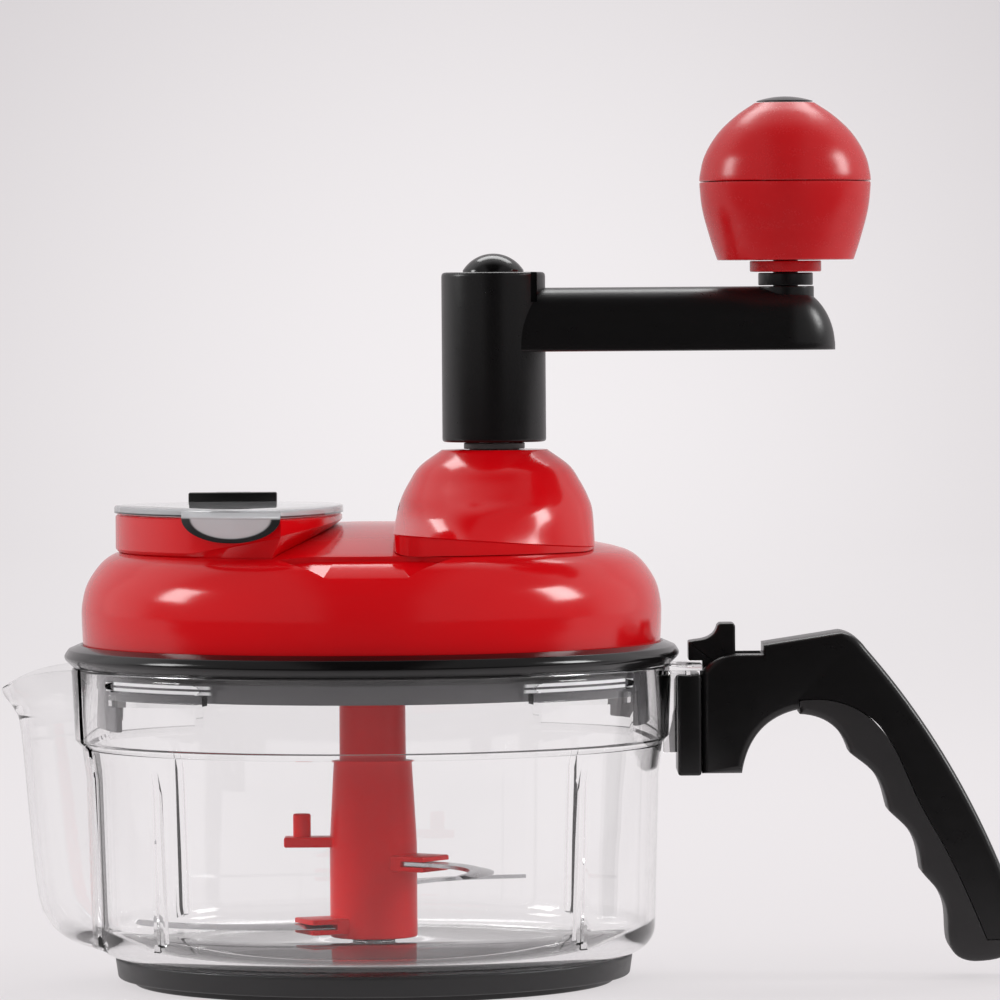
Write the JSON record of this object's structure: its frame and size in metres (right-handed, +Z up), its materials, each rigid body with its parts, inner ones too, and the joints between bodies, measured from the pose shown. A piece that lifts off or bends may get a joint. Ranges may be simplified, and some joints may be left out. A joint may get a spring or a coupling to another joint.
{
  "type": "manual food chopper",
  "caption": "Hand-cranked food chopper with a clear spouted bowl, red geared lid, hinged feed cover, stacked blades and a clip-on side handle.",
  "frame": {"origin": "on the bowl's axis at the underside of the base, where the chopper stands", "axes": "+Z up along the bowl's axis, +X towards the handle, -X towards the spout, -Y towards the crank's side of the lid"},
  "size_m": [0.3303, 0.2008, 0.286],
  "materials": {
    "clear_plastic": "clear moulded plastic, polished",
    "smoky_plastic": "grey tinted clear plastic, polished",
    "red_plastic": "red moulded plastic, satin gloss",
    "black_plastic": "black moulded plastic, fine satin grain",
    "soft_grip": "soft black grip, matt",
    "base_rubber": "dark grey rubber, matt",
    "gear_plastic": "natural white acetal",
    "steel": "ground stainless steel"
  },
  "bodies": {
    "bowl_unit": {"base_pad": "base_rubber", "bowl": "clear_plastic", "pivot_pin": "steel", "handle_mount": "black_plastic", "handle_body": "black_plastic", "grip_insert": "soft_grip", "handle_screw_1": "steel", "handle_screw_2": "steel", "latch_spring": "steel"},
    "latch": {"release_latch": "black_plastic"},
    "lid": {"lid_rim": "black_plastic", "lid_shell": "red_plastic", "gear_dome": "red_plastic", "feed_chute": "red_plastic", "gear_cover": "black_plastic", "cover_screw_1": "steel", "cover_screw_2": "steel", "cover_screw_3": "steel", "cover_screw_4": "steel", "crank_bushing": "gear_plastic", "pinion_bushing": "gear_plastic", "pinion_pin": "steel", "cover_hinge_pin": "steel"},
    "feed_cover": {"feed_cover": "smoky_plastic", "hinge_block": "black_plastic"},
    "crank": {"crank_shaft": "steel", "drive_gear": "gear_plastic", "shaft_clip": "steel", "crank_arm": "black_plastic", "button_spring": "steel", "knob_spindle": "black_plastic"},
    "button": {"release_button": "black_plastic"},
    "knob": {"knob_collar": "red_plastic", "knob_lower": "red_plastic", "knob_upper": "red_plastic", "knob_cap": "black_plastic"},
    "pinion": {"pinion_gear": "gear_plastic"},
    "blades": {"blade_stem": "red_plastic", "blade_lower": "steel", "blade_middle": "steel", "blade_upper": "steel"}
  },
  "joints": [
    {"name": "latch_slide", "type": "slide", "parent": "bowl_unit", "child": "latch", "axis": [1, 0, 0], "range_m": [0, 0.0075], "stiffness_N_per_m": 300, "springref_m": -0.003, "deforming": ["latch_spring"]},
    {"name": "lid_lift", "type": "slide", "parent": "bowl_unit", "child": "lid", "axis": [0, 0, 1], "range_m": [0, 0.12]},
    {"name": "cover_hinge", "type": "hinge", "parent": "lid", "child": "feed_cover", "pos_m": [-0.0458, 0.0317, 0.1562], "axis": [-1, 0, 0], "range_deg": [0, 105]},
    {"name": "crank_turn", "type": "hinge", "parent": "lid", "child": "crank", "pos_m": [0.0403, -0.02394, 0.12], "axis": [0, 0, 1], "continuous": true},
    {"name": "button_press", "type": "slide", "parent": "crank", "child": "button", "axis": [0, 0, -1], "range_m": [0, 0.0025], "stiffness_N_per_m": 400, "springref_m": -0.003, "deforming": ["button_spring"]},
    {"name": "knob_spin", "type": "hinge", "parent": "crank", "child": "knob", "pos_m": [0.1343, -0.02394, 0.258], "axis": [0, 0, 1], "continuous": true},
    {"name": "pinion_turn", "type": "hinge", "parent": "lid", "child": "pinion", "pos_m": [0, 0, 0.12], "axis": [0, 0, 1], "continuous": true},
    {"name": "blade_turn", "type": "hinge", "parent": "bowl_unit", "child": "blades", "pos_m": [0, 0, 0.02], "axis": [0, 0, 1], "continuous": true}
  ],
  "couplings": [
    {"joint": "pinion_turn", "follows": "crank_turn", "ratio": -2.9474},
    {"joint": "blade_turn", "follows": "crank_turn", "ratio": -2.9474}
  ]
}
